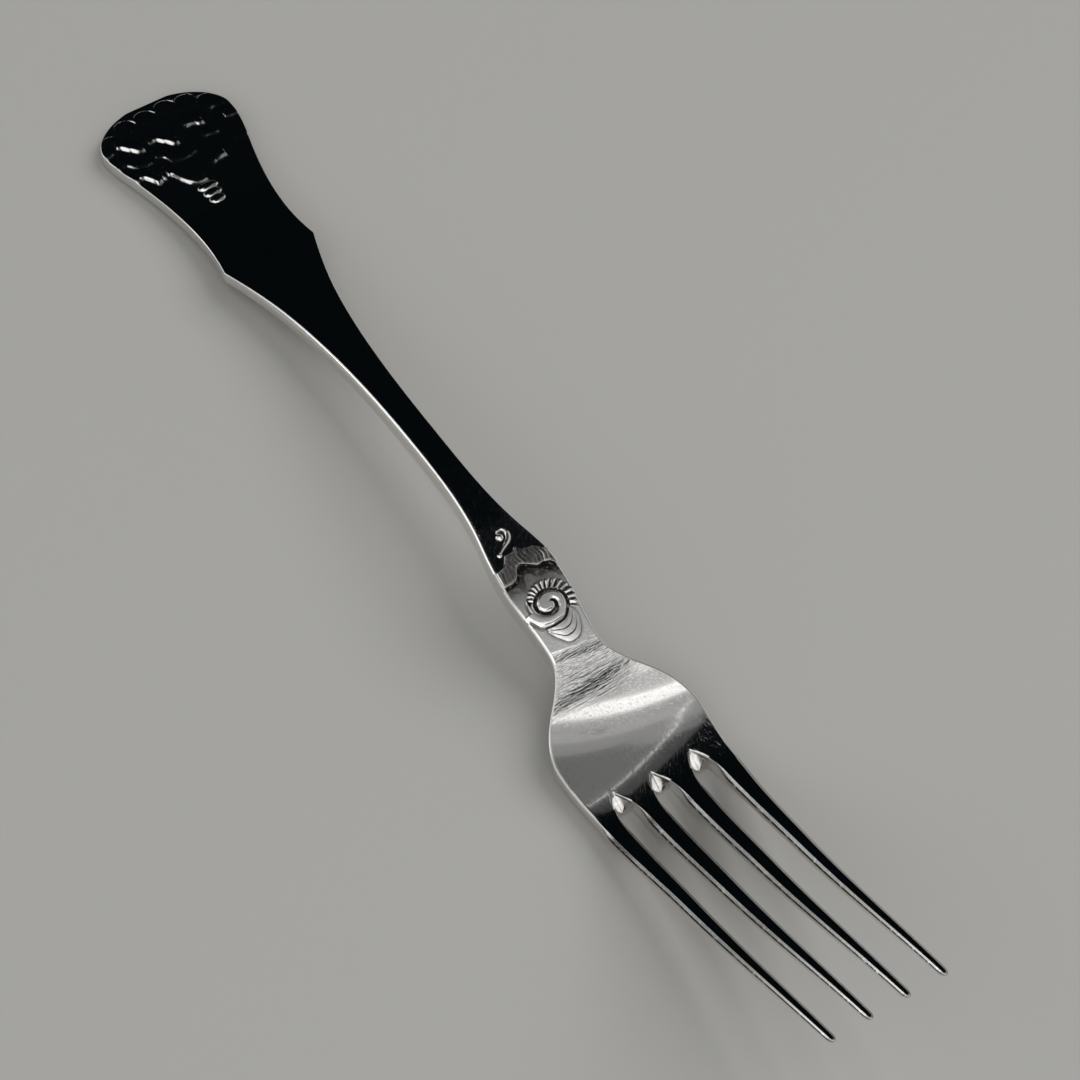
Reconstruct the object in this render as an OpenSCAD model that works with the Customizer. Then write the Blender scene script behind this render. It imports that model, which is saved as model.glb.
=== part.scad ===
// Dinner fork of polished silver, lying on its back with the tines up.
// X runs along the fork from the handle to the tines, Z is up, and the table is Z = 0.
// Every part is a slice of one surface: widths, heights and thickness are curves along the fork.

/* [Lengths along the fork] */
// Length of the end of the handle that carries the waves
wave_len = 18.7; // [17:0.1:26]
// Length of the stretch that carries the drop
drop_len = 5.8; // [4:0.1:12]
// Length of the waist, up to the shoulder corners
waist_len = 13; // [10:0.5:20]
// Length over which the shoulders run in to the stem
shoulder_len = 13.5; // [8:0.5:24]
// Length of the plain stem
stem_len = 49; // [30:0.5:70]
// Length of the stretch that carries the curl
curl_len = 5; // [4:0.1:8]
// Length of the ruffled collar
frill_len = 5; // [4:0.1:8]
// Length of the spiral shell
shell_len = 7; // [5.5:0.1:10]
// Length of the pointed end of the shell
point_len = 3.6; // [2.5:0.1:6]
// Length of the neck, from the shell to the start of the bowl
neck_len = 6.4; // [4:0.1:10]
// Length of the bowl, up to the slots
bowl_len = 12.8; // [10.5:0.1:20]
// Length of the bevelled ends of the slots
root_len = 2.5; // [1.6:0.1:4]
// Length of the tines
tine_len = 48.7; // [38:0.1:60]

/* [Widths] */
// Width of the handle at its widest
end_width = 21.7; // [18:0.1:26]
// How far the widest place lies from the end
end_round = 6.5; // [5.5:0.1:9]
// How far the end of the handle leans to one side
end_lean = 0.7; // [0:0.05:1.2]
// Width at the waist
waist_width = 14; // [11:0.1:17]
// How far the waist lies before the shoulder corners
waist_back = 6.5; // [5:0.1:9]
// Width at the shoulder corners
shoulder_width = 15.1; // [12:0.1:20]
// Angle at which the edges leave the shoulder corners
shoulder_angle = 18; // [10:1:30]
// Width of the stem at its narrowest
stem_width = 4.45; // [3.5:0.05:6]
// Width of the swell under the ornament
swell_width = 9; // [7.5:0.1:12]
// Width of the neck
neck_width = 7.55; // [6:0.05:9]
// Width of the bowl at its widest
bowl_width = 22.2; // [19:0.1:27]
// How far the widest place of the bowl lies before the slots
bowl_back = 5.3; // [4:0.1:8]

/* [Heights of the upper edge] */
// Height at the end of the handle
end_top = 2.3; // [1.9:0.05:4]
// Height at the shoulder corners
shoulder_top = 4.7; // [3.5:0.1:8]
// Slope of the blade at the shoulder corners, in degrees
shoulder_rise = 7; // [2:0.5:12]
// Height of the arch at its highest
arch_top = 11.2; // [8:0.1:15]
// Height at the neck
neck_top = 7.1; // [5.5:0.1:9]
// Slope of the neck, in degrees
neck_fall = 18.8; // [12:0.2:24]
// Height of the bowl's rim at its lowest
bowl_top = 3.1; // [2.7:0.05:4.5]
// How much lower the bowl is in its middle
bowl_dish = 0.9; // [0.3:0.05:1.3]
// Height of the tines part of the way along
tine_top = 8.9; // [6:0.1:12]
// How far that place lies from the roots
tine_bend = 19.7; // [14:0.1:26]
// Slope of the tines there, in degrees
tine_rise = 18; // [10:0.5:26]
// Height of the tips of the tines
tip_top = 20.7; // [14:0.1:26]
// Slope of the tines at their tips, in degrees
tip_rise = 21.5; // [14:0.5:30]

/* [Thickness] */
// Thickness at the end of the handle
end_thick = 2.4; // [1.9:0.05:3.5]
// Thickness at the shoulder corners
shoulder_thick = 2.6; // [1.9:0.05:3.4]
// Thickness of the stem
stem_thick = 3.2; // [2.5:0.05:4.5]
// Thickness of the bowl and of the tines at their roots
bowl_thick = 2.3; // [1.7:0.05:3]
// Thickness of the tines near their tips
tip_thick = 1.2; // [0.9:0.05:1.7]
// Height of the upright edge of the handle
edge_wall = 1.8; // [1:0.05:1.85]
// Height of the upright edge of the stem
stem_wall = 2.7; // [1.4:0.05:2.75]
// Height of the upright edge of the bowl
bowl_wall = 1.4; // [0.8:0.05:1.6]
// Size of the bevel along the upper edges
edge_bevel = 0.25; // [0.1:0.05:0.4]

/* [Tines] */
// Distance between the tines at their roots
root_pitch = 6.05; // [5.2:0.05:7]
// Distance between the tines at their tips
tip_pitch = 5.5; // [4.5:0.05:7]
// Width that a tine would have at its root, without the arches of the slots
root_width = 2.5; // [1.8:0.05:3]
// How much wider the outer tines are at their roots
outer_flare = 0.25; // [0:0.05:0.5]
// Width of a tine just before its tip
tip_width = 0.7; // [0.5:0.05:1.4]
// Length of the pointed arch that ends each slot
slot_arch = 5.5; // [4.5:0.1:9]
// Width of the blunt point of that arch
slot_nose = 0.4; // [0.2:0.05:0.6]
// Metal left at the sharp lower end of each slot
slot_land = 0.35; // [0.2:0.05:0.8]
// Length over which a tine takes its own squarer section
tine_blend = 10; // [6:0.5:16]
// Length of the rounding at the tips
tip_round = 1; // [0.5:0.1:2]

/* [Waves and drop] */
// Height of the wave ridges
wave_rise = 0.55; // [0.2:0.05:0.8]
// Distance between the crests along a wave row
wave_step = 4.5; // [3.5:0.1:6]
// How far a wave row swings to and fro
wave_swing = 0.75; // [0.3:0.05:0.9]
// Distance of the first wave row from the end
row_1 = 8; // [7.6:0.1:8.6]
// Distance of the second wave row from the end
row_2 = 12.7; // [12.2:0.1:13.6]
// Distance of the third wave row from the end
row_3 = 18.4; // [17.2:0.1:18.8]
// Height of the rolled border
border_rise = 0.3; // [0.2:0.05:0.8]
// Number of rolls along the border
border_rolls = 9; // [5:1:13]
// Height of the drop
drop_rise = 0.75; // [0.3:0.05:1]
// Width of the drop
drop_width = 3; // [2:0.1:4]

/* [Curl, frill and shell] */
// Height of the curl
curl_rise = 0.65; // [0.3:0.05:0.9]
// Radius of the curl
curl_radius = 1.25; // [0.9:0.05:1.6]
// Height of the ruffles
frill_rise = 0.55; // [0.2:0.05:0.8]
// Distance between the folds of the ruffles
frill_step = 1.7; // [1.2:0.05:2.4]
// Height of the shell
shell_rise = 0.9; // [0.4:0.05:1.2]
// Radius at which the spiral of the shell starts
spiral_radius = 2.25; // [1.6:0.05:2.6]
// Share of its radius that the spiral keeps after a full turn
spiral_keep = 0.42; // [0.3:0.01:0.6]
// Length of the ribs round the spiral
rib_len = 1; // [0.6:0.05:1.3]
// Number of ribs in a full ring
rib_count = 22; // [16:1:30]

/* [Hidden] */
silver = "Silver";
table = 0;

// Where the curves of the outline change, as shares of the lengths that they lie in
flank_share = 0.3;
taper_share = 0.1;
narrow_share = 0.68;
swell_share = 0.4;
heel_share = 0.016;
lean_share = 0.75;

// Places along the fork, measured from the end of the handle
drop_at = wave_len;
waist_at = drop_at + drop_len;
shoulder_at = waist_at + waist_len;
stem_at = shoulder_at + shoulder_len;
curl_at = stem_at + stem_len;
frill_at = curl_at + curl_len;
shell_at = frill_at + frill_len;
point_at = shell_at + shell_len;
neck_at = point_at + point_len;
bowl_at = neck_at + neck_len;
root_at = bowl_at + bowl_len;
tine_at = root_at + root_len;
fork_len = tine_at + tine_len;
waist_place = shoulder_at - waist_back;
flank_place = mix(end_round, waist_place, flank_share);
taper_place = stem_at + taper_share * stem_len;
narrow_place = stem_at + narrow_share * stem_len;
swell_place = curl_at + swell_share * curl_len;
arch_place = curl_at + curl_len / 2;
fall_place = neck_at + neck_len / 3;
heel_place = bowl_at - heel_share * bowl_len;
bowl_place = root_at - bowl_back;
bend_place = tine_at + tine_bend;

// Shapes of the curves: slopes and shares of width of the outline, and powers of the round sections
flank_keep = 0.66;
flank_steep = 1.64;
flank_run = flank_steep * (waist_width - end_width) / 2 / (waist_place - end_round);
flare_run = 0.17;
taper_extra = 1.37;
taper_run = -0.125;
swell_keep = 0.54;
swell_run = 0.2;
heel_run = 0.93;
outer_start = -0.09;
outer_run = (1.5 * (tip_pitch - root_pitch) + (tip_width - root_width) / 2) / tine_len;
end_start = 15;
lower_power = 2.6;
tine_power = 4;
arch_power = 2.2;

// Stations are [place, value, slope], and a cubic joins each one to the next
function cubic(a, b, u) =
    let (run = b[0] - a[0], t = (u - a[0]) / run)
    (2 * t^3 - 3 * t^2 + 1) * a[1] + (t^3 - 2 * t^2 + t) * run * a[2]
    + (3 * t^2 - 2 * t^3) * b[1] + (t^3 - t^2) * run * b[2];
function along(stations, u, i = 0) =
    i >= len(stations) - 2 || u <= stations[i + 1][0]
    ? cubic(stations[i], stations[i + 1], u) : along(stations, u, i + 1);
function steps(from, to, count) = [for (i = [0 : count]) from + (to - from) * i / count];
function later(list) = [for (i = [1 : len(list) - 1]) list[i]];
function mix(a, b, t) = a + (b - a) * t;
function clamp01(t) = min(1, max(0, t));
function smooth(t) = let (c = clamp01(t)) c * c * (3 - 2 * c);
function bell(d, width) = exp(-(d / width)^2);

rim_stations = [
    [0, end_top, 0],
    [shoulder_at, shoulder_top, tan(shoulder_rise)],
    [arch_place, arch_top, 0],
    [fall_place, neck_top, -tan(neck_fall)],
    [root_at, bowl_top, 0],
    [bend_place, tine_top, tan(tine_rise)],
    [fork_len, tip_top, tan(tip_rise)]];
blade_stations = [
    [end_round, end_width / 2, 0],
    [flank_place, mix(waist_width, end_width, flank_keep) / 2, flank_run],
    [waist_place, waist_width / 2, 0],
    [shoulder_at, shoulder_width / 2, flare_run]];
stem_stations = [
    [shoulder_at, shoulder_width / 2, -tan(shoulder_angle)],
    [taper_place, stem_width / 2 + taper_extra, taper_run],
    [narrow_place, stem_width / 2, 0],
    [swell_place, mix(stem_width, swell_width, swell_keep) / 2, swell_run],
    [shell_at, swell_width / 2, 0],
    [neck_at, neck_width / 2, 0],
    [heel_place, (neck_width + bowl_width) / 4, heel_run],
    [bowl_place, bowl_width / 2, 0],
    [tine_at, 1.5 * root_pitch + root_width / 2 + outer_flare, outer_start],
    [fork_len, 1.5 * tip_pitch + tip_width / 2, outer_run]];
thick_stations = [
    [0, end_thick, 0],
    [shoulder_at, shoulder_thick, 0],
    [narrow_place, stem_thick, 0],
    [neck_at, stem_thick, 0],
    [root_at, bowl_thick, 0],
    [bend_place, bowl_thick, 0],
    [fork_len, tip_thick, 0]];
wall_stations = [
    [0, edge_wall, 0],
    [shoulder_at, edge_wall, 0],
    [narrow_place, stem_wall, 0],
    [neck_at, stem_wall, 0],
    [bowl_at, bowl_wall, 0],
    [bend_place, bowl_wall, 0],
    [fork_len, tip_thick / 2, 0]];

function half_width(u) =
    u < end_round ? end_width / 2 * sqrt(1 - ((1 - u / end_round) * cos(end_start))^2)
    : u < shoulder_at ? along(blade_stations, u) : along(stem_stations, u);
function rim(u) = along(rim_stations, u);
function thick(u) = along(thick_stations, u);
function wall(u) = along(wall_stations, u);
function dish(u) =
    bowl_dish * smooth((u - neck_at) / (bowl_place - neck_at)) * smooth((fork_len - u) / tine_len);

// Waves: each row is [place, sag at its sides, share of the full height, start of its swing, stretch]
wave_rows = [[row_1, 0.22, 1, 69, 1.14], [row_2, 0.5, 0.5, -57, 1], [row_3, 0.7, 1, -57, 1]];
ridge_gentle = 1.4;
ridge_steep = 0.6;
function row_place(row, y) =
    row[0] - row[1] * abs(y) + wave_swing * row[4] * sin(360 * abs(y) / wave_step / row[4] + row[3]);
function ridge(d) = bell(d, d < 0 ? ridge_gentle : ridge_steep);
function waves(u, y) = wave_rise * max([for (row = wave_rows) row[2] * ridge(u - row_place(row, y))]);

// Rolled border: slanted rolls that fade from the end inwards
roll_slant = 130;
roll_start = 1.5;
roll_fade = 2.8;
function border(u, y) =
    let (turn = 360 * border_rolls * y / end_width, inward = u / end_round)
    border_rise * (1 + cos(turn + roll_slant * inward)) / 2 * smooth(roll_start - roll_fade * inward);

// Drop: three round lobes in a row, each a little smaller than the one before
lobe_shrink = 0.12;
lobe_first = 0.2;
lobe_step = 0.26;
lobe_long = 0.17;
function lobe(du, y, long, wide) = sqrt(max(0, 1 - (du / long)^2 - (y / wide)^2));
function drop(u, y) =
    max([for (i = [0 : 2])
        let (size = 1 - lobe_shrink * i, middle = drop_at + drop_len * (lobe_first + lobe_step * i))
        drop_rise * size * lobe(u - middle, y, lobe_long * drop_len, size * drop_width / 2)]);

// Curl: a round head, an arc over it and a tail that runs down beside it
curl_line = 0.38;
curl_share = 0.44;
curl_shift = 0.4;
head_share = 0.4;
tail_lean = 0.7;
function curl(u, y) =
    let (du = u - curl_at - curl_share * curl_len, dy = y + curl_shift * curl_radius,
         head = norm([du + curl_radius / 5, dy - curl_radius / 10]),
         arc = norm([du, dy]) - curl_radius,
         tail = du - curl_radius + tail_lean * dy)
    curl_rise * max(bell(head, head_share * curl_radius), dy > 0 ? bell(arc, curl_line) : 0,
                    dy <= 0 ? bell(tail, curl_line) * smooth(1 + dy / curl_radius) : 0);

// Frill: ruffles, one lapping over the other, each [start, length, turn of its wavy edge, depth of folds]
ruffle_rows = [[0, 0.7, 200, 0.2], [0.5, 0.7, 40, 0.3]];
ruffle_swing = 0.35;
ruffle_waves = 180;
ruffle_bow = 0.06;
ruffle_fall = 0.7;
ruffle_lip = 4;
function ruffle_edge(row, y) =
    frill_at + row[0] * frill_len + ruffle_bow * y^2 + ruffle_swing * cos(ruffle_waves * y / frill_step + row[2]);
function ruffle(row, u, y) =
    let (t = (u - ruffle_edge(row, y)) / (row[1] * frill_len))
    t < 0 || t > 1 ? 0
    : smooth(ruffle_lip * t) * (1 - ruffle_fall * t) * (1 + row[3] * cos(360 * y / frill_step));
function ruffles(u, y) = frill_rise * max([for (row = ruffle_rows) ruffle(row, u, y)]);

// Shell: a groove winds in to the middle, ribs stand round it and a plain whorl closes the other side
shell_middle = [shell_at + 0.6 * shell_len, 0.15];
spiral_start = 45;
coil_power = 0.6;
coil_eye = 0.2;
rib_end = 270;
rib_share = 0.8;
rib_lip = 0.25;
band_start = 215;
band_half = 0.75;
band_share = 0.9;
fade_turn = 25;
function whorls(u, y) =
    let (du = u - shell_middle[0], dy = y - shell_middle[1],
         r = max(coil_eye / 10, norm([du, dy])),
         turn = (atan2(dy, du) + 360 - spiral_start) % 360,
         winding = ln(r / spiral_radius) / ln(spiral_keep) - (turn - spiral_start) / 360,
         lap = winding - floor(winding),
         out = r - spiral_radius * spiral_keep^((turn - spiral_start) / 360),
         coil = sin(180 * lap)^coil_power * smooth(r / spiral_radius / coil_eye),
         ribbed = smooth(2 * (band_share - du / spiral_radius)) * smooth((rib_end - turn) / fade_turn),
         rib_reach = smooth(out / coil_eye) * smooth((rib_len - out) / rib_lip + 1),
         rib = (1 + cos(rib_count * turn)) / 2 * rib_reach,
         band = lobe(out - band_half, 0, band_half, 1) * smooth((turn - band_start) / fade_turn))
    shell_rise * (winding >= 0 ? coil : max(rib_share * rib * ribbed, band_share * band));

// Point of the shell: crescents that overlap like roof tiles and narrow to a tip
tile_count = 2.2;
tile_start = 0.3;
tile_bow = 0.1;
tile_fall = 0.6;
tile_lip = 0.35;
tile_high = 0.8;
tile_low = 0.45;
tip_narrow = 0.8;
tile_edge = 0.7;
tip_lean = 0.4;
function crescents(u, y) =
    let (t = (u - point_at) / point_len, inside = clamp01(t),
         dy = y - shell_middle[1] - tip_lean * t,
         tile = tile_count * (t - tile_bow * dy^2) + tile_start,
         wide = (spiral_radius + tile_edge) * (1 - tip_narrow * inside),
         lap = tile - floor(tile),
         step = 1 - tile_fall * lap * smooth((1 - lap) / tile_lip),
         reach = smooth((wide - abs(dy)) / tile_edge) * smooth((t + tile_bow) / tile_start))
    t < -tile_bow || t > 1 ? 0 : shell_rise * mix(tile_high, tile_low, inside) * step * reach;

function relief(u, y) =
    u < waist_at ? max(waves(u, y), border(u, y), drop(u, y))
    : u < curl_at || u > neck_at ? 0
    : max(curl(u, y), ruffles(u, y), whorls(u, y), crescents(u, y));

// Slots: a pointed arch in plan, whose end slopes from the upper face down to the lower one
function pitch(u) = mix(root_pitch, tip_pitch, (u - tine_at) / tine_len);
function tine_width(u) = mix(root_width, tip_width, clamp01((u - tine_at) / tine_len));
function slot_open(u) = (pitch(u) - tine_width(u)) / 2;
function slot_half(u) =
    max(slot_nose / 2, slot_open(u) * (1 - (1 - clamp01((u - root_at) / slot_arch))^arch_power));
function slot_start(u, d) = slot_arch * (1 - (1 - min(1, d / slot_open(u)))^(1 / arch_power));
function slot_depth(u, d) = d >= slot_half(u) ? 0 : clamp01((u - root_at - slot_start(u, d)) / root_len);

// Upper and lower surface of the fork at a place u along it and y across it
relief_margin = 0.8;
function lower_curve(v, power) = max(0, 1 - abs(v)^power)^(1 / power);
function base(u, y) = rim(u) - dish(u) * (1 - (y / half_width(u))^2);
function lower(u, y) =
    let (belly = thick(u) + dish(u) - wall(u))
    max(table, rim(u) - wall(u) - belly * lower_curve(y / half_width(u), lower_power));
function upper(u, y) =
    let (inside = half_width(u) - abs(y))
    inside < edge_bevel / 2 ? rim(u) - edge_bevel
    : base(u, y) + relief(u, y) * smooth((inside - edge_bevel) / relief_margin);
function lean(u) = -end_lean * (1 - smooth(u / (lean_share * wave_len)));
function place(u, y, z) = [u - fork_len / 2, y + lean(u), z];

// Lacing joins two rows of points across the fork with triangles: [upper, next upper, lower, next lower]
function step_up(top, low, i, j) =
    j == len(low) - 1 || (i < len(top) - 1 && top[i + 1][1] <= low[j + 1][1]) ? 1 : 0;
function lacing(top, low) =
    [for (i = 0, j = 0; i + j < len(top) + len(low) - 2;
          up = step_up(top, low, i, j), i = i + up, j = j + 1 - up)
        let (now = step_up(top, low, i, j)) [i, i + now, j, j + 1 - now]];
function distinct(face) =
    [for (i = [0 : len(face) - 1]) if (face[i] != face[(i + 1) % len(face)]) face[i]];

// Solid between rows of upper points and rows of lower points
module slice(top, bottom) {
    rows = len(top);
    a = len(top[0]);
    b = len(bottom[0]);
    first = rows * a;
    last = (rows - 1) * a;
    last_low = first + (rows - 1) * b;
    points = concat([for (row = top) each row], [for (row = bottom) each row]);
    upper_faces = [for (i = [0 : rows - 2], j = [0 : a - 2]) let (p = i * a + j)
        each [[p, p + 1, p + a + 1], [p, p + a + 1, p + a]]];
    lower_faces = [for (i = [0 : rows - 2], j = [0 : b - 2]) let (p = first + i * b + j)
        each [[p, p + b + 1, p + 1], [p, p + b, p + b + 1]]];
    side_faces = [for (i = [0 : rows - 2])
        let (p = i * a, q = first + i * b, r = p + a - 1, s = q + b - 1)
        each [[p, p + a, q + b], [p, q + b, q], [r, s + b, r + a], [r, s, s + b]]];
    start_faces = [for (t = lacing(top[0], bottom[0])) [t[1], t[0], first + t[2], first + t[3]]];
    end_faces = [for (t = lacing(top[rows - 1], bottom[rows - 1]))
        [last + t[0], last + t[1], last_low + t[3], last_low + t[2]]];
    ends = [for (face = concat(start_faces, end_faces)) distinct(face)];
    polyhedron(points, concat(upper_faces, lower_faces, side_faces, ends));
}

// Places across the fork: the outermost two on each side make the bevel along the edge
function across(u, shares) =
    let (half = half_width(u), flat = half - edge_bevel)
    concat([-half], [for (share = shares) flat * share], [half]);
function lower_points(u, count) =
    [for (turn = steps(-90, 90, count)) let (y = half_width(u) * sin(turn)) place(u, y, lower(u, y))];

module body_slice(places, shares, lower_count) {
    slice([for (u = places) [for (y = across(u, shares)) place(u, y, upper(u, y))]],
          [for (u = places) lower_points(u, lower_count)]);
}

// The rows of the wave field follow the crests, so that each crest is a clean line, and never cross
crest_rows = [-0.9, -0.4, 0, 0.3, 0.6];
crest_last = crest_rows[len(crest_rows) - 1];
row_gap = 0.1;
end_rows = 9;
tail_rows = 3;
function crest_place(i, away, y) =
    let (own = row_place(wave_rows[i], y) + away,
         before = i == 0 ? 0 : row_place(wave_rows[i - 1], y) + crest_last)
    min(max(own, before + row_gap * (1 + away - crest_rows[0])),
        drop_at - row_gap * (2 + crest_last - away));
function field_rows(y) =
    let (first = crest_place(0, crest_rows[0], y), last = crest_place(2, crest_last, y))
    concat([for (i = [0 : end_rows - 1]) let (t = 1 - cos(90 * i / end_rows)) first * t],
           [for (i = [0 : 2], away = crest_rows) crest_place(i, away, y)],
           [for (i = [1 : tail_rows]) mix(last, drop_at, i / tail_rows)]);
function field_point(i, share) =
    let (guess = field_rows(0)[i],
         edge = abs(share) > 1,
         y_guess = sign(share) * min(1, abs(share)) * half_width(guess),
         u = field_rows(y_guess)[i],
         y = edge ? sign(share) * half_width(u) : share * (half_width(u) - edge_bevel))
    [u, y];
module wave_field() {
    shares = concat([-2], steps(-1, 1, 36), [2]);
    count = len(field_rows(0));
    grid = [for (i = [0 : count - 1]) [for (share = shares) field_point(i, share)]];
    edges = [for (row = grid) row[0][0]];
    color(silver)
    slice([for (row = grid) [for (p = row) place(p[0], p[1], upper(p[0], p[1]))]],
          [for (u = edges) lower_points(u, 10)]);
}
module drop_panel() {
    reach = 1.05 * drop_width / waist_width;
    middle = steps(-reach, reach, 16);
    sides = [-1, -0.5, 0.5, 1];
    shares = concat([sides[0], sides[1]], middle, [sides[2], sides[3]]);
    color(silver) body_slice(steps(drop_at, waist_at, 16), shares, 10);
}
module handle_waist() {
    color(silver) body_slice(steps(waist_at, shoulder_at, 8), steps(-1, 1, 2), 10);
}
module shoulders() {
    color(silver) body_slice(steps(shoulder_at, stem_at, 8), steps(-1, 1, 2), 10);
}
module stem() {
    color(silver) body_slice(steps(stem_at, curl_at, 18), steps(-1, 1, 2), 8);
}
module curl_panel() {
    color(silver) body_slice(steps(curl_at, frill_at, 16), steps(-1, 1, 20), 8);
}
module frill() {
    color(silver) body_slice(steps(frill_at, shell_at, 16), steps(-1, 1, 26), 8);
}
module shell() {
    color(silver) body_slice(steps(shell_at, point_at, 28), steps(-1, 1, 34), 8);
}
module shell_point() {
    color(silver) body_slice(steps(point_at, neck_at, 14), steps(-1, 1, 24), 8);
}
module neck() {
    color(silver) body_slice(steps(neck_at, bowl_at, 8), steps(-1, 1, 6), 8);
}
module bowl() {
    color(silver) body_slice(steps(bowl_at, root_at, 12), steps(-1, 1, 10), 12);
}

// The columns of the roots follow the sides of the slots
slot_shares = steps(-1, 1, 6);
slot_inside = 0.001;
side_turns = [75, 60];
function root_columns(u) =
    let (half = half_width(u), flat = half - edge_bevel, open = slot_half(u),
         side = concat([half, flat], [for (turn = side_turns) half * sin(turn)]))
    concat(-side,
           [for (k = [-1 : 1], share = slot_shares) k * pitch(u) + share * open],
           [for (i = [len(side) - 1 : -1 : 0]) side[i]]);
function root_upper(u, y) =
    let (k = max(-1, min(1, round(y / pitch(u)))), d = abs(y - k * pitch(u)))
    upper(u, y) - slot_depth(u, d + slot_inside) * (upper(u, y) - lower(u, y) - slot_land);
module tine_roots() {
    places = steps(root_at, tine_at, 7);
    color(silver)
    slice([for (u = places) [for (y = root_columns(u)) place(u, y, root_upper(u, y))]],
          [for (u = places) [for (y = root_columns(u)) place(u, y, lower(u, y))]]);
}

// Tine k of four lies between two slots, or between a slot and the outer edge
function tine_edge(k, u, side) =
    let (slot = k - 2 + (side > 0 ? 1 : 0))
    abs(slot) == 2 ? side * half_width(u) : slot * pitch(u) - side * slot_half(u);
tip_shrink = 0.84;
tip_lift = 0.3;
function tip_scale(u) = sqrt(1 - tip_shrink * clamp01((u - fork_len + tip_round) / tip_round)^2);
function own(u) = smooth((u - tine_at) / tine_blend);
function tine_y(k, u, v) =
    let (a = tine_edge(k, u, -1), b = tine_edge(k, u, 1)) (a + b) / 2 + v * (b - a) / 2 * tip_scale(u);
function tine_level(k, u) = base(u, tine_y(k, u, 0)) - tip_lift * thick(u) * (1 - tip_scale(u));
function tine_upper(k, u, v) =
    let (y = tine_y(k, u, v), bevel = abs(v) == 1 ? edge_bevel : 0)
    mix(base(u, y) - (abs(v) == 1 && abs(y) > half_width(u) - edge_bevel ? edge_bevel : 0),
        tine_level(k, u) - bevel, own(u));
function tine_lower(k, u, v) =
    let (deep = thick(u) * tip_scale(u), side = deep / 2)
    max(table, mix(lower(u, tine_y(k, u, v)),
                   tine_level(k, u) - side - (deep - side) * lower_curve(v, tine_power), own(u)));
module tine(k) {
    arch_end = root_at + slot_arch;
    straight = steps(arch_end, fork_len - tip_round, 11);
    tip = [for (i = [1 : 4]) fork_len - tip_round + tip_round * sin(22.5 * i)];
    places = concat(steps(tine_at, arch_end, 4), later(straight), tip);
    slice([for (u = places) let (flat = 1 - 2 * edge_bevel / (tine_edge(k, u, 1) - tine_edge(k, u, -1)))
              [for (v = [-1, -flat, flat, 1]) place(u, tine_y(k, u, v), tine_upper(k, u, v))]],
          [for (u = places) [for (turn = steps(-90, 90, 8)) let (v = sin(turn))
              place(u, tine_y(k, u, v), tine_lower(k, u, v))]]);
}
module tine_1() { color(silver) tine(0); }
module tine_2() { color(silver) tine(1); }
module tine_3() { color(silver) tine(2); }
module tine_4() { color(silver) tine(3); }

wave_field();
drop_panel();
handle_waist();
shoulders();
stem();
curl_panel();
frill();
shell();
shell_point();
neck();
bowl();
tine_roots();
tine_1();
tine_2();
tine_3();
tine_4();
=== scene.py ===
import bpy
import numpy as np
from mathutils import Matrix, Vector


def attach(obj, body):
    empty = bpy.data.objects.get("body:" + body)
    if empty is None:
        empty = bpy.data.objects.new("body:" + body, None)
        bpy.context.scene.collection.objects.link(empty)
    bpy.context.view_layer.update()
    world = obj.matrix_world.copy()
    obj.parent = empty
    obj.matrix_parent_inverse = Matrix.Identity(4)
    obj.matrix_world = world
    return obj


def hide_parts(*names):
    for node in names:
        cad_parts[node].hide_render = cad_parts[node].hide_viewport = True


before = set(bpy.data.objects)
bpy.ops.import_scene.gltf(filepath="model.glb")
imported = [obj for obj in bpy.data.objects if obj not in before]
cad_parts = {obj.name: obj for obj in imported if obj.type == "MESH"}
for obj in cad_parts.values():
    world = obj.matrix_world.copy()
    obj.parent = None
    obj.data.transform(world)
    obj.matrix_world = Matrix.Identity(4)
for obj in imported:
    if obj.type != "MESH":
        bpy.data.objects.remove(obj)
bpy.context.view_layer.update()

# all sizes in millimetres; u runs along the fork from the end of the handle, y across it, z up
forkLen = 191.0
places = {"drop": 18.7, "waist": 24.5, "shoulder": 37.5, "stem": 51.0, "curl": 100.0, "frill": 105.0,
          "shell": 110.0, "point": 117.0, "neck": 120.6, "bowl": 127.0, "roots": 139.8, "tines": 142.3}


# the rise of a line that stands at an angle
def slope(degrees):
    return np.tan(np.radians(degrees))


# an S-shaped rise from 0 to 1: three squares less two cubes
def smooth(t):
    t = np.clip(t, 0, 1)
    return t * t * (3 - 2 * t)


# a bell curve: 1 in the middle, and e to the minus square of the distance beside it
def bell(d, width):
    return np.exp(-(d / width) ** 2)


# a straight line from a to b
def mix(a, b, t):
    return a + (b - a) * t


# stations are place, value, slope; a cubic joins each one to the next
def along(stations, u):
    line = np.asarray(stations, float)
    k = np.clip(np.searchsorted(line[:, 0], u, side="right") - 1, 0, len(line) - 2)
    a, b = line[k], line[k + 1]
    run = b[..., 0] - a[..., 0]
    t = (u - a[..., 0]) / run
    return ((2 * t**3 - 3 * t**2 + 1) * a[..., 1] + (t**3 - 2 * t**2 + t) * run * a[..., 2]
            + (3 * t**2 - 2 * t**3) * b[..., 1] + (t**3 - t**2) * run * b[..., 2])


# a smooth curve through points: each slope is the one between its neighbours
def through(points, u):
    p = np.asarray(points, float)
    return along(np.column_stack([p, np.gradient(p[:, 1], p[:, 0])]), np.clip(u, p[0, 0], p[-1, 0]))


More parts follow.
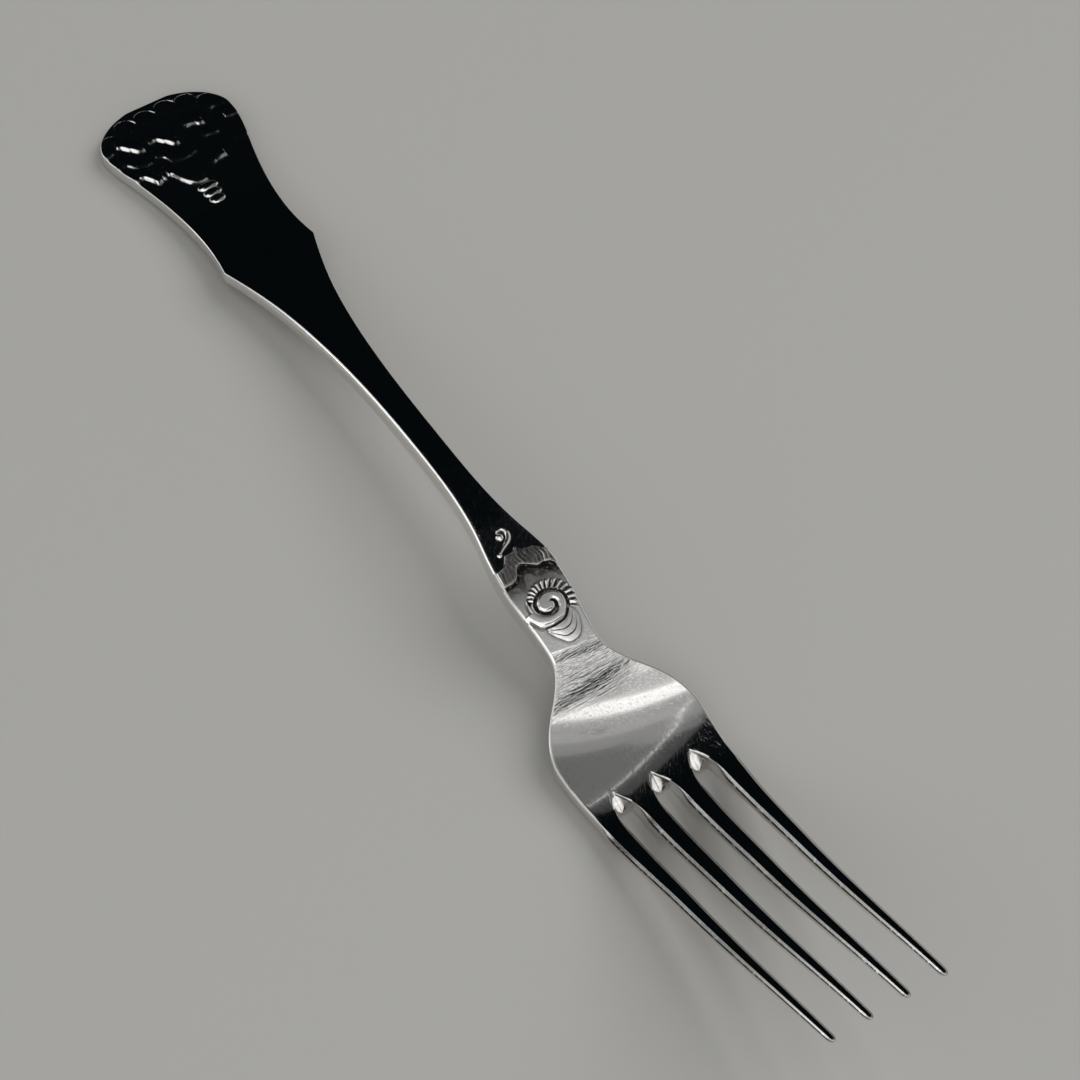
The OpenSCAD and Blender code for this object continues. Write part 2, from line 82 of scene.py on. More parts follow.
# the body's end is an ellipse that starts at an angle; tines are this far apart, this wide and this thick
body = {"endRound": 6.5, "endHalf": 10.845, "endStart": 15, "endSoft": 3.0, "shoulderHalf": 7.55,
        "lean": 0.7, "leanLen": 14.025, "bowlDish": 0.9, "lowerPower": 2.6}
tines = {"count": 4, "rootPitch": 6.05, "tipPitch": 5.5, "rootWidth": 2.5, "tipWidth": 0.7, "thick": 2.3}
slim, widest, bend = 84.32, 134.5, 162.0  # the stem's slimmest place, the bowl's widest, the tines' bend
shoulder, neckAt, rootsAt, tinesAt = [places[name] for name in ("shoulder", "neck", "roots", "tines")]

tineLen = forkLen - tinesAt
outerSteps = (tines["count"] - 1) / 2  # pitches from the middle to an outer tine
rootHalf = outerSteps * tines["rootPitch"] + tines["rootWidth"] / 2
tipHalf = outerSteps * tines["tipPitch"] + tines["tipWidth"] / 2
outerRun = (tipHalf - rootHalf) / tineLen

# height of the upper face
rimLine = [(0, 2.3, 0), (shoulder, 4.7, slope(7)), (102.5, 11.2, 0), (122.733, 7.1, -slope(18.8)),
           (rootsAt, 3.1, 0), (bend, 8.9, slope(18)), (forkLen, 20.7, slope(21.5))]
# half the width before and after the shoulders
bladeLine = [(body["endRound"], body["endHalf"], 0), (13.85, 9.541, -0.2577), (31, 7, 0),
             (shoulder, body["shoulderHalf"], 0.17)]
stemLine = [(shoulder, body["shoulderHalf"], -slope(18)), (55.9, 3.595, -0.125), (slim, 2.225, 0),
            (102, 3.4535, 0.2), (110, 4.5, 0), (neckAt, 3.775, 0), (126.795, 7.4375, 0.93),
            (widest, 11.0995, 0), (tinesAt, 10.575, -0.09), (forkLen, tipHalf, outerRun)]
# thickness, height of the upright edge, and rounding of the upper edge
thickLine = [(0, 2.4, 0), (shoulder, 2.6, 0), (slim, 3.2, 0), (neckAt, 3.2, 0),
             (rootsAt, tines["thick"], 0), (bend, tines["thick"], 0), (forkLen, 1.2, 0)]
wallLine = [(0, 1.8, 0), (shoulder, 1.8, 0), (slim, 2.7, 0), (neckAt, 2.7, 0), (places["bowl"], 1.4, 0),
            (bend, 1.4, 0), (forkLen, 0.6, 0)]
bevelLine = [(0, 0.27, 0), (shoulder, 0.3, 0), (50, 0.75, 0), (100, 0.75, 0), (118, 0.45, 0),
             (widest, 0.38, 0), (bend, 0.35, 0), (forkLen, 0.27, 0)]


# half the width: an ellipse at the end, then cubics, with a corner at the shoulders
def halfWidth(u):
    turn = np.cos(np.radians(body["endStart"])) * (1 - u / body["endRound"])
    end = body["endHalf"] * np.sqrt(np.clip(1 - turn**2, 0, 1))
    return np.where(u < body["endRound"], end,
                    np.where(u < shoulder, along(bladeLine, u), along(stemLine, u)))


# the end of the handle leans a little to one side
def lean(u):
    return -body["lean"] * (1 - smooth(u / body["leanLen"]))


# height of the upper face along its edges: cubics
def rim(u):
    return along(rimLine, u)


# the dish deepens from the neck to the widest place and runs out along the tines
def dish(u):
    return body["bowlDish"] * smooth((u - neckAt) / (widest - neckAt)) * smooth((forkLen - u) / tineLen)


# distance behind a line that is drawn across the fork as u over y, and the line's run
def behind(points, u, y):
    step = 0.02
    run = (through(points, y + step) - through(points, y - step)) / (2 * step)
    return (u - through(points, y)) / np.sqrt(1 + run**2), run


# waves: each row climbs gently to a wavy crest and falls behind it; it sinks where the crest runs back
# and, past a last place, towards one side
waves = {"reach": (0, 21.5), "front": 2.2, "fall": 1.05, "shift": 0.5,
         "sunk": 0.3, "sinkFrom": 0.1, "sinkOver": 0.45, "fadeTo": 0.3, "fade": 3.0,
         "rows": [
             {"rise": 0.235, "last": 6.0, "crest": [
                 (-11.1, 7.06), (-9.86, 6.63), (-8.16, 6.1), (-7.12, 7.09), (-5.54, 8.4), (-4.16, 7.67),
                 (-2.8, 7.53), (-1.82, 8.37), (-0.28, 9.77), (1.48, 7.83), (2.71, 7.4), (3.77, 7.59),
                 (4.91, 8.12), (6.58, 6.39), (7.64, 6.04), (8.64, 6.07), (9.94, 6.08)]},
             {"rise": 0.15, "last": 9.0, "crest": [
                 (-10.57, 10.07), (-9.25, 9.71), (-7.3, 11.38), (-5.74, 11.38), (-4.33, 10.87), (-3.43, 11.3),
                 (-2.6, 12.5), (-1.01, 13.18), (0.21, 13.03), (2.01, 12.35), (3.15, 11.04), (4.31, 10.76),
                 (5.92, 10.98), (7.22, 10.17), (8.19, 8.93), (9.11, 9.11)]},
             {"rise": 0.26, "last": 5.0, "crest": [
                 (-9.5, 13.76), (-7.87, 13.61), (-7.2, 14.4), (-6.5, 15.45), (-5.55, 15.36), (-4.1, 15.29),
                 (-3.38, 16.6), (-2.46, 18.05), (-1.21, 18.88), (0.4, 18.5), (1.43, 16.9), (2.83, 16.17),
                 (3.69, 15.91), (4.76, 15.79), (5.85, 14.84), (7.13, 13.81), (8.12, 13.84)]}]}


def waveRelief(u, y):
    high = np.zeros_like(u)
    for row in waves["rows"]:
        d, run = behind(row["crest"], u + waves["shift"], y)
        share = mix(1, waves["sunk"], smooth((-run - waves["sinkFrom"]) / waves["sinkOver"]))
        share = share * mix(1, waves["fadeTo"], smooth((y - row["last"]) / waves["fade"]))
        fall = np.where(d < 0, smooth(1 + d / waves["front"]), smooth(1 - d / waves["fall"]))
        high = np.maximum(high, row["rise"] * share * fall)
    return high


# scalloped border: oval scoops along the end, each a bowl with fine rings and a raised edge
border = {"reach": (0, 7), "deep": 0.15, "edge": 0.03, "edgeWide": 0.22, "ring": 0.016, "ringStep": 0.24,
          "long": 1.5, "wide": 1.8, "slant": 0.25,
          "scoops": [(4.4, -8.7), (2.6, -5.6), (2.4, -2.1), (2.1, 1.5), (2.6, 4.8), (4.2, 7.8)]}


def borderRelief(u, y):
    high = np.zeros_like(u)
    for start, middle in border["scoops"]:
        du = (u - start) / border["long"]
        dy = (y - middle - border["slant"] * (u - start)) / border["wide"]
        r = np.hypot(du, dy)
        scoop = border["ring"] * np.cos(2 * np.pi * r / border["ringStep"]) - border["deep"] * (1 - r**2)
        high = np.where(r < 1, np.minimum(high, scoop), high)
        high = high + border["edge"] * bell(r - 1, border["edgeWide"])
    return high


# a round form that is a little less full than half a ball, from 1 in the middle to 0 at its edge
roundPower = 0.6


def dome(squares):
    return np.clip(1 - squares, 0, 1) ** roundPower


# drop: three oval domes in a row, each a little smaller
drop = {"reach": (18, 25), "lobes": 3, "rise": 0.36, "first": 20.1, "step": 1.5, "long": 0.92, "wide": 1.65,
        "shrink": 0.12, "shift": -0.85}


def dropRelief(u, y):
    high = np.zeros_like(u)
    for i in range(drop["lobes"]):
        size = 1 - drop["shrink"] * i
        du = (u - drop["first"] - drop["step"] * i) / drop["long"]
        dy = (y - drop["shift"]) / (drop["wide"] * size)
        high = np.maximum(high, size * dome(du**2 + dy**2))
    return drop["rise"] * high


# distance from a smooth path through points, and the place along it from 0 to 1
def pathDistance(u, y, points, count=40):
    p = np.asarray(points, float)
    at = np.linspace(0, 1, len(p))
    s = np.linspace(0, 1, count)
    line = np.stack([through(np.column_stack([at, p[:, i]]), s) for i in (0, 1)], -1)
    flat = np.stack([u.ravel(), y.ravel()], -1)
    best = np.full(len(flat), np.inf)
    share = np.zeros(len(flat))
    for i in range(count - 1):
        a, run = line[i], line[i + 1] - line[i]
        t = np.clip(((flat - a) @ run) / (run @ run), 0, 1)
        d = np.hypot(flat[:, 0] - a[0] - t * run[0], flat[:, 1] - a[1] - t * run[1])
        near = d < best
        best = np.where(near, d, best)
        share = np.where(near, s[i] + t * (s[i + 1] - s[i]), share)
    return best.reshape(u.shape), share.reshape(u.shape)


# curl: a ball, a bar that bends over it and thins to a tail, and a knob at the tail's end
curl = {"rise": 0.4, "head": (102.63, -0.42), "ball": 0.58, "bar": 0.34, "barEnds": 0.6, "barSwell": 0.6,
        "tailFall": 0.3, "knobAt": (105.2, -2.0), "knob": 0.4, "knobRise": 0.9,
        "path": [(101.72, -0.3), (101.62, 0.25), (101.85, 0.62), (102.38, 0.8), (103.05, 0.62),
                 (103.65, 0.15), (104.1, -0.5), (104.55, -1.2), (104.95, -1.75)]}


def curlRelief(u, y):
    d, s = pathDistance(u, y, curl["path"])
    wide = curl["bar"] * (curl["barEnds"] + curl["barSwell"] * np.sin(np.pi * np.clip(s, 0, 1)) ** 2)
    bar = dome((d / wide) ** 2) * (1 - curl["tailFall"] * s)
    ball = dome((np.hypot(u - curl["head"][0], y - curl["head"][1]) / curl["ball"]) ** 2)
    knob = dome((np.hypot(u - curl["knobAt"][0], y - curl["knobAt"][1]) / curl["knob"]) ** 2)
    return curl["rise"] * np.maximum(np.maximum(ball, bar), curl["knobRise"] * knob)


# frill: a wrinkled collar between two wavy lines; before it the field rises to make up for the stem's fall,
# and a trough lies behind it
frill = {"rise": 0.24, "lip": 0.3, "step": 0.14, "deep": 0.3, "trough": 1.25,
         "level": 0.0145, "levelFrom": 102,
         "wrinkle": 0.011, "wrinkleStep": 0.62, "sway": 0.14, "swayRate": 2.2,
         "even": 0.6, "unevenY": 1.9, "unevenU": 1.3,
         "pockets": [(-0.4, 1.0), (2.7, 0.9)], "pocketLeast": 0.6,
         # darkening: tarnish between the wrinkles; the line along the back edge and the trough are painted
         # shade
         "dirtAndShade": 0.6, "dirtFolds": 0.25, "shadeLineWide": 0.12, "shadeTrough": 0.5, "shadeFrom": 1.1,
         "shadeOver": 0.7, "dirtAndShadeEnd": 114, "dirtAndShadeFade": 4,
         "front": [(-4.6, 107.6), (-4.22, 107.46), (-3.21, 107.13), (-2.5, 106.85), (-2.0, 106.2),
                   (-1.6, 105.55), (-1.0, 105.45), (-0.22, 105.35), (0.41, 104.85), (0.99, 105.4),
                   (2.02, 105.88), (2.63, 105.95), (3.45, 106.81), (4.06, 107.57), (4.5, 108.3)],
         "back": [(-4.6, 109.9), (-3.42, 109.82), (-2.6, 109.75), (-2.0, 109.45), (-1.55, 108.8),
                  (-1.2, 108.2), (-0.61, 107.77), (0.2, 107.93), (0.96, 108.46), (1.72, 108.95),
                  (2.7, 108.95), (3.4, 109.3), (4.06, 110.18), (4.5, 111.2)]}


# gives the relief and where it is darkened: tarnish between the wrinkles, and painted shade along the back
# edge and in the trough
def frillRelief(u, y):
    front, back = behind(frill["front"], u, y)[0], behind(frill["back"], u, y)[0]
    level = frill["level"] * np.clip(u - frill["levelFrom"], 0, None) ** 2
    top = frill["level"] * (through(frill["front"], y) - frill["levelFrom"]) ** 2 + frill["rise"]
    # wrinkles: a cosine across the fork that sways along it and is stronger in places
    folds = np.cos(2 * np.pi * (y + frill["sway"] * np.sin(frill["swayRate"] * u)) / frill["wrinkleStep"])
    uneven = np.sin(frill["unevenY"] * y + frill["unevenU"] * u)
    folds = folds * smooth(front) * (frill["even"] + (1 - frill["even"]) * uneven)
    collar = mix(level, top, smooth(front / frill["lip"])) + frill["wrinkle"] * folds
    collar = np.where(front < 0, level, collar)
    # the trough is deepest in two pockets
    pockets = np.minimum(1, sum(bell(y - middle, wide) for middle, wide in frill["pockets"]))
    pockets = frill["pocketLeast"] + (1 - frill["pocketLeast"]) * pockets
    after = np.clip(back / frill["step"], 0, 1)
    low = 1 - smooth(back / frill["trough"])
    # tarnish lies between the wrinkles; behind the back edge lie a painted shadow line and painted shade in
    # the trough's pockets
    dirtAndShade = np.where(front < 0, 0, frill["dirtAndShade"] - frill["dirtFolds"] * folds) * (1 - after)
    # painted shade: darkest in the pockets just behind the back edge, with a dark line along that edge
    pocketShade = pockets * (1 - smooth((back - frill["shadeFrom"]) / frill["shadeOver"]))
    troughShade = smooth((back + frill["shadeLineWide"]) / frill["shadeLineWide"]) * mix(frill["shadeTrough"], 1, pocketShade)
    dirtAndShade = np.maximum(dirtAndShade, troughShade) * smooth((frill["dirtAndShadeEnd"] - u) / frill["dirtAndShadeFade"])
    return mix(collar, -frill["deep"] * pockets * low, after), dirtAndShade


# shell: a groove winds in as a radius over the angle, and the coils between its turns are round;
# angles in degrees, from the way to the tines towards positive y
shell = {"middle": (114.3, 0.0), "rise": 0.5, "cut": 40, "round": 0.5, "cover": 0.2, "beyond": 9,
         "grooveWide": 0.16, "grooveEnd": 140, "grooveFade": 60,
         "whorlRound": 0.22, "crown": 0.22, "whorlFrom": 225, "whorlFade": 40, "whorlLeast": 1e-3,
         "ribs": 26, "ribRise": 0.42, "seat": 0.12, "ribLean": 0.5, "ribFrom": 52, "ribFromFade": 10,
         "ribTo": 285, "ribToFade": 14, "ribStart": 0.12, "ribEnd": 0.6, "ribBlunt": 0.2,
         "tiles": 3, "tileTop": 0.8, "tileStep": 0.2, "tileFall": 0.06, "tileEdge": 0.12, "tileDip": 0.5,
         "tileFrom": -100, "tileTo": 65, "tileLeast": 0.05, "tileFade": 0.5, "tileEnd": 0.9999,
         "dirtAndShade": 1.7, "dirtGroove": 0.3, "dirtInside": 0.28, "dirtWhorl": 0.26, "dirtRibs": 0.8,
         "dirtTileFrom": 0.8, "dirtTileOver": 0.12,
         "groove": [(-180, 4.6), (-140, 4.5), (-100, 4.2), (-77.5, 4.07), (-62, 3.95), (-48, 3.86),
                    (-29, 3.48), (-5, 3.07), (17, 2.97), (41, 2.74), (72, 2.62), (100, 2.5), (143, 1.97),
                    (185, 1.77), (222, 1.73), (254, 1.82), (281, 1.86), (322, 1.54), (364, 1.32),
                    (412, 1.12), (443, 0.9), (475, 0.55), (510, 0.2), (540, 0.02), (800, 0.02)],
         "ribLen": [(50, 1.2), (100, 1.35), (135, 1.65), (166, 1.47), (205, 1.15), (250, 0.82), (285, 0.6)],
         "edge": [(-110, 4.6), (-69, 4.32), (-52, 4.07), (-36, 3.91), (-21, 4.67), (-10, 5.33), (-4, 5.8),
                  (6, 5.98), (15, 5.85), (25, 5.29), (37, 4.46), (47, 3.77), (54, 2.94), (65, 2.7)]}


# a quarter of a circle from 0 up to 1
def quarter(t):
    return np.sqrt(1 - (1 - np.clip(t, 0, 1)) ** 2)


# gives the relief, how far it covers what lies round it, and where dirt gathers
def shellRelief(u, y):
    du, dy = u - shell["middle"][0], y - shell["middle"][1]
    r = np.hypot(du, dy)
    angle = np.degrees(np.arctan2(dy, du))
    turn = np.where(angle < shell["cut"], angle + 360, angle)
    groove, inside, outside = [through(shell["groove"], turn + more) for more in (0, 360, -360)]
    g, w = shell["grooveWide"], shell["round"]
    # coils: quarter rounds on both sides of the groove, which ends near the middle
    winds = smooth((shell["grooveEnd"] - turn) / shell["grooveFade"])
    coil = quarter((groove - g - r) / w) * mix(1, quarter((np.abs(r - inside) - g) / w), winds)
    # the last whorl lies outside the groove, round the side of negative y
    band = np.maximum(outside - groove, shell["whorlLeast"])
    wide = np.minimum(w, shell["whorlRound"] * band)
    crown = 1 - shell["crown"] * (2 * (r - groove) / band - 1) ** 2
    whorl = quarter((r - groove - g) / wide) * quarter((outside - g - r) / wide) * crown
    whorl = whorl * smooth((turn - shell["whorlFrom"]) / shell["whorlFade"])
    # ribs stand round the groove elsewhere, a cosine over the angle, and run out into the field
    out = r - groove - g
    long = through(shell["ribLen"], turn)
    ribbed = smooth((shell["ribTo"] - turn) / shell["ribToFade"])
    ribbed = ribbed * smooth((turn - shell["ribFrom"]) / shell["ribFromFade"])
    rib = (1 + np.cos(shell["ribs"] * np.radians(turn) + shell["ribLean"] * out)) / 2
    taper = smooth(out / shell["ribStart"]) * smooth((long - out) / shell["ribEnd"] + shell["ribBlunt"])
    ribs = ribbed * taper * (shell["seat"] + shell["ribRise"] * rib)
    # crescents lap over each other between the last whorl and the pointed edge
    around = np.where(turn > 180, turn - 360, turn)
    near, far = through(shell["groove"], around) + g, through(shell["edge"], around)
    c = (r - near) / np.maximum(far - near, shell["tileLeast"])
    tile = shell["tiles"] * np.clip(c, 0, shell["tileEnd"])
    part = tile - np.floor(tile)
    lap = shell["tileTop"] - shell["tileStep"] * np.floor(tile) - shell["tileFall"] * part
    lap = lap * (1 - shell["tileDip"] * np.clip((part - 1) / shell["tileEdge"] + 1, 0, 1))
    laid = (c > 0) & (c < 1) & (around > shell["tileFrom"]) & (around < shell["tileTo"])
    crescent = np.where(laid, lap, 0) * smooth((far - near) / shell["tileFade"])
    form = np.where(r < groove, coil, np.maximum(np.maximum(whorl, crescent), ribs))
    pointed = np.where(np.abs(around) < shell["tileTo"], far, shell["beyond"])
    reach = np.where(ribbed > 0.5, groove + g + long, pointed)
    # dirt lies in the groove, along the crescents' edges and between the ribs
    dirtAndShade = np.maximum(bell(r - groove, shell["dirtGroove"]), bell(r - inside, shell["dirtInside"]) * winds)
    dirtAndShade = np.maximum(dirtAndShade, bell(r - near, shell["dirtWhorl"]) * laid)
    dirtAndShade = np.minimum(1, shell["dirtAndShade"] * dirtAndShade)
    dirtAndShade = np.maximum(dirtAndShade, shell["dirtRibs"] * ribbed * taper * (1 - rib) ** 2)
    dirtAndShade = np.maximum(dirtAndShade, laid * smooth((part - shell["dirtTileFrom"]) / shell["dirtTileOver"]))
    return shell["rise"] * form, smooth((reach + shell["cover"] - r) / shell["cover"]), dirtAndShade


# curl, frill and shell together: the relief, and the tarnish with the frill's painted shade
ornamentReach = (100, 121)


def ornament(u, y):
    collar, trough = frillRelief(u, y)
    whorls, cover, dirtAndShade = shellRelief(u, y)
    return np.stack([np.maximum(mix(collar, whorls, cover), curlRelief(u, y)), mix(trough, dirtAndShade, cover)])


# neck: two slight steps across it, as left by the hammer, that level out again over the bowl;
# a step is start, length, slant, depth
neck = {"reach": (119, 137), "steps": [(120.6, 1.8, 0.15, 0.15), (125.0, 1.8, -0.1, 0.09)],
        "level": 127.0, "levelLen": 9.0}


def neckRelief(u, y):
    down = sum(deep * smooth((u - start - slant * y) / long) for start, long, slant, deep in neck["steps"])
    return -down * (1 - smooth((u - neck["level"]) / neck["levelLen"]))


# a relief is only worked out where it stands
def within(shape, u, y, reach):
    out = np.zeros(u.shape)
    near = (u > reach[0]) & (u < reach[1])
    if near.any():
        out[near] = shape(u[near], y[near])
    return out


# all reliefs: the highest one at the end of the handle, and the others added to it
def relief(u, y):
    u, y = np.broadcast_arrays(u, y)
    high = np.maximum(within(waveRelief, u, y, waves["reach"]), within(borderRelief, u, y, border["reach"]))
    high = np.maximum(high, within(dropRelief, u, y, drop["reach"]))
    high = high + within(lambda a, b: ornament(a, b)[0], u, y, ornamentReach)
    return high + within(neckRelief, u, y, neck["reach"])


# slots: a pointed arch in plan, then what the tines leave open; the three slots are -1, 0 and 1
slots = {"arch": 5.5, "archPower": 2.2, "nose": 0.4, "land": 0.35, "slopeLen": 2.5, "slopeRound": 0.03,
         "before": 2}


# distance between the tines: a straight line
def pitch(u):
    return mix(tines["rootPitch"], tines["tipPitch"], (u - tinesAt) / tineLen)


# half of what the tines leave open
def slotOpen(u):
    width = mix(tines["rootWidth"], tines["tipWidth"], np.clip((u - tinesAt) / tineLen, 0, 1))
    return (pitch(u) - width) / 2


# half the width of a slot: the arch is a power curve
def slotHalf(u):
    t = np.clip((u - rootsAt) / slots["arch"], 0, 1)
    return np.maximum(slots["nose"] / 2, slotOpen(u) * (1 - (1 - t) ** slots["archPower"]))


# distance from the middle of the nearest slot
def fromSlot(u, y):
    return y - pitch(u) * np.clip(np.round(y / pitch(u)), -1, 1)


# a slot's end slopes down behind the arch, from 0 at the top to 1 at the bottom, with a rounded start
def slotDepth(u, y):
    shut = 1 - np.minimum(1, np.abs(fromSlot(u, y)) / slotOpen(u))
    start = slots["arch"] * (1 - shut ** (1 / slots["archPower"]))
    t = (u - rootsAt - start) / slots["slopeLen"]
    return np.clip((t + np.sqrt(t * t + slots["slopeRound"] ** 2)) / 2, 0, 1)


# the upper face without relief: the rim, less a parabola across the dish
def base(u, y):
    return rim(u) - dish(u) * (1 - (y / halfWidth(u)) ** 2)


# underside: a boxy round below the upright edge, rounded at the end too, and flat where it rests
def lower(u, y):
    power = body["lowerPower"]
    v = np.abs(y) / halfWidth(u)
    v = (v**power + np.clip(1 - u / body["endSoft"], 0, 1) ** power) ** (1 / power)
    wall = along(wallLine, u)
    belly = along(thickLine, u) + dish(u) - wall
    return np.maximum(0, rim(u) - wall - belly * np.clip(1 - v**power, 0, 1) ** (1 / power))


# upper face: the base with the relief, cut by the slots down to a thin land, and rounded at the end
def upper(u, y):
    top = base(u, y) + relief(u, y + lean(u))
    if u.max() > rootsAt - slots["before"]:
        top = top - slotDepth(u, y) * (top - lower(u, y) - slots["land"])
    b = along(bevelLine, u)
    return top - (b - np.sqrt(np.clip(b**2 - np.clip(b - u, 0, b) ** 2, 0, None)))


# a section: the upper face, a quarter round, the upright edge, the round underside, and back up
grid = {"columns": 241, "belly": 41, "wallAt": [0.34, 0.67], "edgeFrom": 75, "edgeCols": 6, "endRows": 7,
        "step": 0.015}
edgeArc = np.radians(np.linspace(grid["edgeFrom"], 0, grid["edgeCols"]))


# places across the underside, close together towards both sides
def acrossBelow(count):
    return np.sin(np.radians(np.linspace(90, -90, count)))


def section(u, y):
    uu = u[:, :1]
    half, b = halfWidth(uu), along(bevelLine, uu)
    top = upper(u, y)
    wallLow = rim(uu) - along(wallLine, uu)
    ends = []
    for side, edge in ((1, top[:, -1:]), (-1, top[:, :1])):
        down = mix(edge - b, wallLow, np.array(grid["wallAt"]))
        ends.append((side * np.concatenate([half - b + b * np.cos(edgeArc), half + 0 * down], 1),
                     np.concatenate([edge - b + b * np.sin(edgeArc), down], 1)))
    belly = half * acrossBelow(grid["belly"])
    under = lower(np.broadcast_to(uu, belly.shape), belly)
    ys = np.concatenate([y, ends[0][0], belly, ends[1][0][:, ::-1]], 1) + lean(uu)
    zs = np.concatenate([top, ends[0][1], under, ends[1][1][:, ::-1]], 1)
    return np.stack([np.broadcast_to(uu, ys.shape) - forkLen / 2, ys, zs], -1)


# normals: across the rows a small step before and after, and the neighbours around
def rowNormals(rows, at, points, step):
    ahead = rows(np.minimum(at + step, forkLen)) - rows(np.maximum(at - step, 0))
    normal = np.cross(ahead, np.roll(points, -1, 1) - np.roll(points, 1, 1))
    size = np.linalg.norm(normal, axis=-1, keepdims=True)
    return normal / np.where(size > 0, size, 1)


# how deep a place lies below the ring of places around it, with the ornament's tarnish and painted shade,
# from 0 to 1
hollow = {"ring": 0.35, "sides": 8, "deep": 0.2}


def tarnishAndShade(u, y):
    here = relief(u, y)
    ring = np.zeros_like(here)
    for turn in 2 * np.pi * np.arange(hollow["sides"]) / hollow["sides"]:
        du, dy = hollow["ring"] * np.cos(turn), hollow["ring"] * np.sin(turn)
        ring += relief(u + du, y + dy) / hollow["sides"]
    dirtAndShade = within(lambda a, b: ornament(a, b)[1], u, y, ornamentReach)
    return np.clip((ring - here) / hollow["deep"] + dirtAndShade, 0, 1)


def addObject(name, data):
    made = bpy.data.objects.new(name, data)
    bpy.context.scene.collection.objects.link(made)
    return made


# a piece: rows of closed loops, with a flat cap at each end; layers are values for the finish
def buildPiece(name, node, points, normals, finish, layers):
    rows, cols = points.shape[:2]
    ids = np.arange(rows * cols).reshape(rows, cols)
    nxt = np.roll(ids, -1, 1)
    quads = np.stack([ids[:-1], ids[1:], nxt[1:], nxt[:-1]], -1).reshape(-1, 4)
    caps = [ids[0].tolist(), ids[-1][::-1].tolist()]
    mesh = bpy.data.meshes.new(name)
    mesh.from_pydata((points.reshape(-1, 3) / 1000).tolist(), [], quads.tolist() + caps)
    mesh.polygons.foreach_set("use_smooth", np.ones(len(mesh.polygons), bool))
    corners = normals.reshape(-1, 3)[quads.ravel()]
    flat = np.repeat([[-1.0, 0, 0], [1.0, 0, 0]], cols, 0)
    mesh.normals_split_custom_set(np.concatenate([corners, flat]).tolist())
    for layerName in ("tarnishAndShade", "brushed"):
        values = layers.get(layerName, np.zeros((rows, cols)))
        layer = mesh.attributes.new(layerName, "FLOAT", "POINT")
        layer.data.foreach_set("value", values.ravel().astype(np.float32))
    mesh.materials.append(finishes[finish])
    mesh.update()
    piece = addObject(name, mesh)
    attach(piece, "root")
    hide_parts(node)
    print("piece", name, len(quads), "quads")


# silver: a grain is its size in metres along, across and up, its turn, its lowest and highest level,
# and its detail
# the dark colour stands for tarnish in hollows and also for painted shade
silver = {"colour": (0.93, 0.92, 0.9, 1), "toned": (0.87, 0.86, 0.835, 1), "tarnishAndShadeColour": (0.035, 0.028, 0.02, 1),
          "rough": (0.065, 0.12), "roughStruck": (0.09, 0.15), "roughDirtAndShade": 0.12,
          "toneGrain": ((0.018, 0.012, 0.012), 15, 0.35, 0.68, 2.0),
          "roughGrain": ((0.0002, 0.0002, 0.0002), 0, 0.35, 0.7, 4.0),
          "dirtAndShadeGrain": ((0.0006, 0.0006, 0.0006), 0, 0.1, 0.45, 3.0),
          "scratches": [((0.0016, 0.00012, 0.00012), 24, 0.6, 0.74, 2.0),
                        ((0.0013, 0.0001, 0.0001), -38, 0.6, 0.74, 2.0)], "scratchDeep": 2.5e-6,
          "streaks": ((0.00022, 0.0014, 0.0014), 3, 0.25, 0.75, 3.0), "streakDeep": 2.2e-5}


